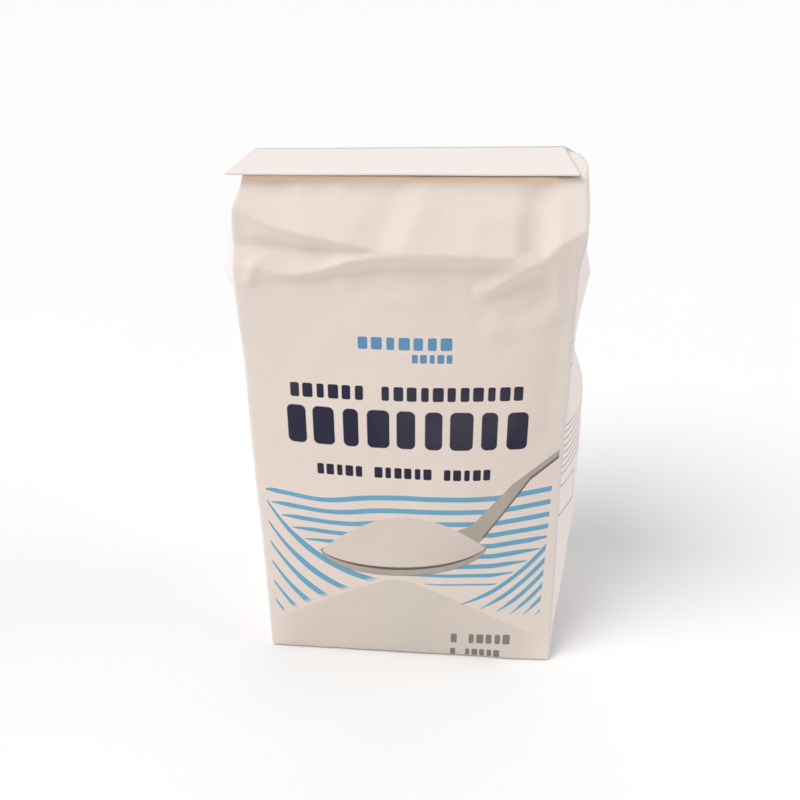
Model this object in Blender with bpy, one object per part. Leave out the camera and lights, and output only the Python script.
"""A one-kilogram packet of sugar in a closed block-bottom paper bag.

The filled bag stands on its flat base. Its front, back and sides swell between four corner
creases. Near the top the front buckles into a brow, and the side gussets tuck in under a flat
fin of folded paper, which lies forward over the top.

X runs across the front, +Y points to the back and +Z up. The origin is on the base, under the
middle of the packet. All sizes are in metres.
"""

from math import pi, sin

import bmesh
import bpy
from mathutils import Vector

# Driving dimensions: the block between its corner creases.
WIDTH = 0.100
DEPTH = 0.066
FRONT_HEIGHT = 0.169
RIDGE_HEIGHT = 0.1704
BACK_HEIGHT = 0.158

# How far the filled panels swell out past their corner creases.
BELLY_HEIGHT = 0.150
FRONT_SWELL = 0.003
LEFT_SWELL = 0.005
RIGHT_SWELL = 0.0078
FOOT_RADIUS = 0.0015

# The brow: the level where the slack top of the front panel buckles outwards.
BROW_LEVEL = 0.150
BROW_REACH = 0.0024
DIP_LEVEL = 0.141
DIP_DEPTH = 0.0006
FOLD_SPREAD = 0.010
TOP_SETBACK = 0.004

# The side gussets: a shallow V pushed in below the ends of the fin.
TUCK_LEVEL = 0.150
TUCK_SPREAD = 0.023
TUCK_DEPTH = 0.007
TUCK_HALF_WIDTH = 0.36
RIDGE_AT = 0.626
RIDGE_SKEW = 0.0027
PINCH_LEVEL = 0.120
PINCH_DEPTH = 0.0015

# The fin: its four corners seen from above, measured from the middle of the front crease line.
FIN_THICKNESS = 0.0010
FIN_BACK_LEFT = Vector((-0.0517, 0.0386, 0.1720))
FIN_BACK_RIGHT = Vector((0.0465, 0.0441, 0.1727))
FIN_FRONT_LEFT = Vector((-0.0509, 0.0004, 0.1720))
FIN_FRONT_RIGHT = Vector((0.0478, 0.0016, 0.1727))

# How finely each stretch is divided.
FRONT_STEPS = 24
FIN_ROWS = 8
LEVELS = (0.0, 0.0015, 0.006, 0.016, 0.030, 0.045, 0.060, 0.075, 0.090, 0.105, 0.120, 0.131,
          0.137, 0.141, 0.145, 0.148, 0.150, 0.152, 0.156, 0.160, 0.164, 0.167, 0.169)
SIDE_STEPS_TO_RIDGE = 8
SIDE_STEPS_BEHIND_RIDGE = 5
ROOT_WIDTH = 0.025

# The sides swell unequally, so the crease lines stand off the middle of the whole packet.
CREASE_CENTRE = Vector(((LEFT_SWELL - RIGHT_SWELL) / 2, 0.0, 0.0))


def hump(value, centre, spread):
    """A smooth hump: 1 at the centre, 0 from one spread away."""
    offset = min(abs(value - centre) / spread, 1.0)
    return (1.0 - offset * offset) ** 2


def ease(low, high, value):
    """A smooth rise from 0 at low to 1 at high."""
    share = min(max((value - low) / (high - low), 0.0), 1.0)
    return share * share * (3.0 - 2.0 * share)


def arch(share):
    """A parabola over a panel: 0 at both creases, 1 midway."""
    return 4.0 * share * (1.0 - share)


def belly(height):
    """How full the packet is at a height: 0 on the base, 1 at half of BELLY_HEIGHT."""
    if height >= BELLY_HEIGHT:
        return 0.0
    return sin(pi * height / BELLY_HEIGHT) ** 0.6


def foot_inset(height):
    """The small round of the bottom edge."""
    if height >= FOOT_RADIUS:
        return 0.0
    return FOOT_RADIUS - (FOOT_RADIUS ** 2 - (FOOT_RADIUS - height) ** 2) ** 0.5


def front_corner(side, level):
    """The front corner crease, on the left (side -1) or right (side 1)."""
    brow_end = hump(level, BROW_LEVEL, FOLD_SPREAD)
    half_width = WIDTH / 2 + BROW_REACH * brow_end
    if side < 0:
        half_width -= 0.6 * BROW_REACH * ease(BROW_LEVEL, FRONT_HEIGHT, level)
    else:
        half_width -= 0.6 * BROW_REACH * brow_end
    inset = foot_inset(level)
    setback = TOP_SETBACK * ease(BROW_LEVEL, FRONT_HEIGHT, level)
    return Vector((side * (half_width - inset), -DEPTH / 2 + inset + setback, level))


def back_corner(side, level):
    """The back corner crease, which leans forward near its lower top."""
    inset = foot_inset(level)
    lean = TOP_SETBACK * ease(BROW_LEVEL, FRONT_HEIGHT, level)
    height = level * BACK_HEIGHT / FRONT_HEIGHT
    return Vector((side * (WIDTH / 2 - inset - 0.3 * lean), DEPTH / 2 - inset - lean, height))


def front_point(share, level):
    """The front panel, from its left crease (0) to its right crease (1)."""
    point = front_corner(-1, level).lerp(front_corner(1, level), share)
    point.y -= FRONT_SWELL * belly(level) * arch(share)
    point.y -= BROW_REACH * hump(level, BROW_LEVEL, FOLD_SPREAD)
    point.y += DIP_DEPTH * hump(level, DIP_LEVEL, FOLD_SPREAD)
    return point


def back_point(share, level):
    """The back panel, from its left crease (0) to its right crease (1)."""
    point = back_corner(-1, level).lerp(back_corner(1, level), share)
    point.y += FRONT_SWELL * belly(level) * arch(share)
    return point


def side_point(side, share, level):
    """A gusseted side panel, from its front crease (0) to its back crease (1)."""
    point = front_point((side + 1) / 2, level).lerp(back_corner(side, level), share)
    ridge_share = min(share / RIDGE_AT, (1.0 - share) / (1.0 - RIDGE_AT))
    upper = ease(TUCK_LEVEL - TUCK_SPREAD, FRONT_HEIGHT, level)
    ridge_rise = RIDGE_HEIGHT - FRONT_HEIGHT + (FRONT_HEIGHT - BACK_HEIGHT) * RIDGE_AT
    point.z += ridge_rise * ridge_share * upper * level / FRONT_HEIGHT
    point.y += side * RIDGE_SKEW * ridge_share * upper

    swell = RIGHT_SWELL if side > 0 else LEFT_SWELL
    bulge = swell * belly(level) * arch(share)
    if side > 0:
        bulge -= PINCH_DEPTH * hump(level, PINCH_LEVEL, 2 * FOLD_SPREAD) * arch(share)
    tuck = max(1.0 - abs(share - RIDGE_AT) / TUCK_HALF_WIDTH, 0.0)
    point.x += side * (bulge - TUCK_DEPTH * tuck * hump(level, TUCK_LEVEL, TUCK_SPREAD))
    return point


def side_shares():
    """Where the side panels are divided, with one short step under the root of the fin."""
    root_front = RIDGE_AT - ROOT_WIDTH / 2
    root_back = RIDGE_AT + ROOT_WIDTH / 2
    ahead = [root_front * step / SIDE_STEPS_TO_RIDGE for step in range(SIDE_STEPS_TO_RIDGE + 1)]
    behind_run = (1.0 - root_back) / SIDE_STEPS_BEHIND_RIDGE
    behind = [root_back + behind_run * step for step in range(SIDE_STEPS_BEHIND_RIDGE + 1)]
    return ahead + behind


def ring(level, shares):
    """One closed loop round the bag: front, right side, back and left side."""
    front = [front_point(step / FRONT_STEPS, level) for step in range(FRONT_STEPS)]
    right = [side_point(1, share, level) for share in shares[:-1]]
    back = [back_point(1.0 - step / FRONT_STEPS, level) for step in range(FRONT_STEPS)]
    left = [side_point(-1, share, level) for share in reversed(shares[1:])]
    return front + right + back + left


def fin_point(across, forward, height_offset):
    """A point on the fin: across from left to right, forward from its fold to its free edge."""
    fold = FIN_BACK_LEFT.lerp(FIN_BACK_RIGHT, across)
    edge = FIN_FRONT_LEFT.lerp(FIN_FRONT_RIGHT, across)
    point = fold.lerp(edge, forward)
    point.y -= DEPTH / 2
    point.z += height_offset
    return point


def join_rows(mesh, lower, upper):
    """Bridge two equal rows of vertices with quads, the lower row being walked first."""
    for index in range(len(lower) - 1):
        corners = (lower[index], lower[index + 1], upper[index + 1], upper[index])
        mesh.faces.new(corners)


def add_vertices(mesh, points):
    return [mesh.verts.new(point) for point in points]


def add_walls(mesh, shares):
    """The four panels, as rings joined from the base up. Returns the lowest and highest ring."""
    rings = [add_vertices(mesh, ring(level, shares)) for level in LEVELS]
    for lower, upper in zip(rings, rings[1:]):
        join_rows(mesh, lower + lower[:1], upper + upper[:1])
    return rings[0], rings[-1]


def split_ring(loop, side_steps):
    """Cut a ring into its front, right, back and left rows, each running front to back or
    left to right, with both of its corners."""
    first_right = FRONT_STEPS
    first_back = first_right + side_steps
    first_left = first_back + FRONT_STEPS
    front = loop[:first_right + 1]
    right = loop[first_right:first_back + 1]
    back = loop[first_back:first_left + 1][::-1]
    left = (loop[first_left:] + loop[:1])[::-1]
    return front, right, back, left


def patch_rows(mesh, loop, side_steps):
    """Rows of vertices that fill the inside of a ring, from the front row to the back row."""
    front, right, back, left = split_ring(loop, side_steps)
    rows = [front]
    for left_end, right_end in zip(left[1:-1], right[1:-1]):
        inner = [left_end.co.lerp(right_end.co, step / FRONT_STEPS)
                 for step in range(1, FRONT_STEPS)]
        rows.append([left_end] + add_vertices(mesh, inner) + [right_end])
    rows.append(back)
    return rows


def add_base(mesh, loop, side_steps):
    """The flat underside."""
    rows = patch_rows(mesh, loop, side_steps)
    for nearer, farther in zip(rows, rows[1:]):
        join_rows(mesh, farther, nearer)


def add_fin(mesh, root_front, root_back):
    """The folded fin, which grows out of the narrow strip between two rows of the top."""
    across = [step / FRONT_STEPS for step in range(FRONT_STEPS + 1)]
    under = []
    over = []
    for row in range(FIN_ROWS + 1):
        forward = row / FIN_ROWS
        start = 0.04 * (1.0 - forward)
        under_points = [fin_point(share, forward + start, -FIN_THICKNESS) for share in across]
        over_points = [fin_point(share, forward, 0.0) for share in across]
        under.append(add_vertices(mesh, under_points))
        over.append(add_vertices(mesh, over_points))

    join_rows(mesh, root_front, under[0])
    for nearer, farther in zip(under, under[1:]):
        join_rows(mesh, nearer, farther)
    join_rows(mesh, under[-1], over[-1])
    for nearer, farther in zip(over, over[1:]):
        join_rows(mesh, farther, nearer)
    join_rows(mesh, over[0], root_back)

    for end in (0, -1):
        lower = [root_front[end]] + [row[end] for row in under]
        upper = [root_back[end]] + [row[end] for row in over]
        if end == 0:
            join_rows(mesh, lower, upper)
        else:
            join_rows(mesh, upper, lower)


def add_top(mesh, loop, side_steps):
    """The top of the bag, ahead of the fin's root and behind it, and the fin between."""
    rows = patch_rows(mesh, loop, side_steps)
    root = SIDE_STEPS_TO_RIDGE
    for index, (nearer, farther) in enumerate(zip(rows, rows[1:])):
        if index == root:
            add_fin(mesh, nearer, farther)
        else:
            join_rows(mesh, nearer, farther)


def paper_material():
    material = bpy.data.materials.new("printed_paper")
    material.use_nodes = True
    shader = material.node_tree.nodes["Principled BSDF"]
    shader.inputs["Base Color"].default_value = (0.78, 0.72, 0.68, 1.0)
    shader.inputs["Roughness"].default_value = 0.7
    shader.inputs["Metallic"].default_value = 0.0
    return material


def make_packet():
    """The whole closed packet as one solid."""
    mesh = bmesh.new()
    shares = side_shares()
    side_steps = len(shares) - 1
    bottom, top = add_walls(mesh, shares)
    add_base(mesh, bottom, side_steps)
    add_top(mesh, top, side_steps)
    for vertex in mesh.verts:
        vertex.co += CREASE_CENTRE

    data = bpy.data.meshes.new("paper_packet")
    mesh.to_mesh(data)
    mesh.free()
    data.shade_smooth()
    data.set_sharp_from_angle(angle=0.6)
    packet = bpy.data.objects.new("paper_packet", data)
    packet.data.materials.append(paper_material())
    bpy.context.collection.objects.link(packet)
    return packet


for old in list(bpy.data.objects):
    bpy.data.objects.remove(old, do_unlink=True)

make_packet()
